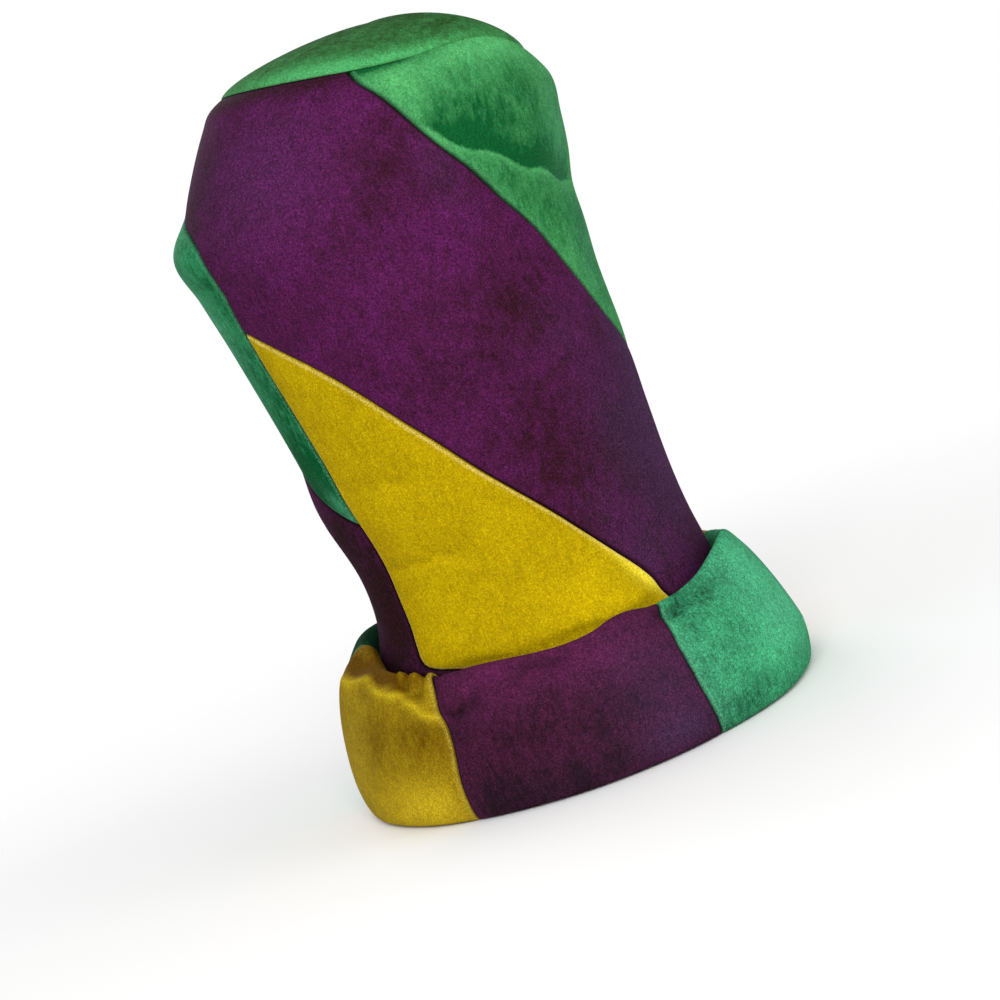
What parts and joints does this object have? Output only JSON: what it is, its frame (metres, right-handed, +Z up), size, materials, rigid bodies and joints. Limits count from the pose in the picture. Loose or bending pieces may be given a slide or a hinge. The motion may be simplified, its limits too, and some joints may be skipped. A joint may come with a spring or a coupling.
{
  "type": "stovepipe hat",
  "caption": "Tall soft stovepipe hat pieced from diagonal velvet panels in green, purple and gold, with a domed top and a turned-up cuff round the head opening.",
  "frame": {"origin": "centre of the cuff's flat sole, on the surface that the hat stands on", "axes": "+Z up along the crown, -Y to the wearer's front, -X to the wearer's right side"},
  "size_m": [0.2551, 0.2604, 0.4017],
  "materials": {
    "velvet_green": "short pile velvet",
    "velvet_purple": "short pile velvet",
    "velvet_gold": "short pile velvet"
  },
  "bodies": {
    "root": {"crown_top": "velvet_green", "crown_green_right": "velvet_green", "crown_purple_right": "velvet_purple", "crown_gold_right": "velvet_gold", "crown_green_left": "velvet_green", "crown_purple_left": "velvet_purple", "crown_gold_left": "velvet_gold", "cuff_gold_right": "velvet_gold", "cuff_purple_right": "velvet_purple", "cuff_green_front": "velvet_green", "cuff_gold_left": "velvet_gold", "cuff_purple_left": "velvet_purple", "cuff_green_back": "velvet_green"}
  },
  "joints": []
}
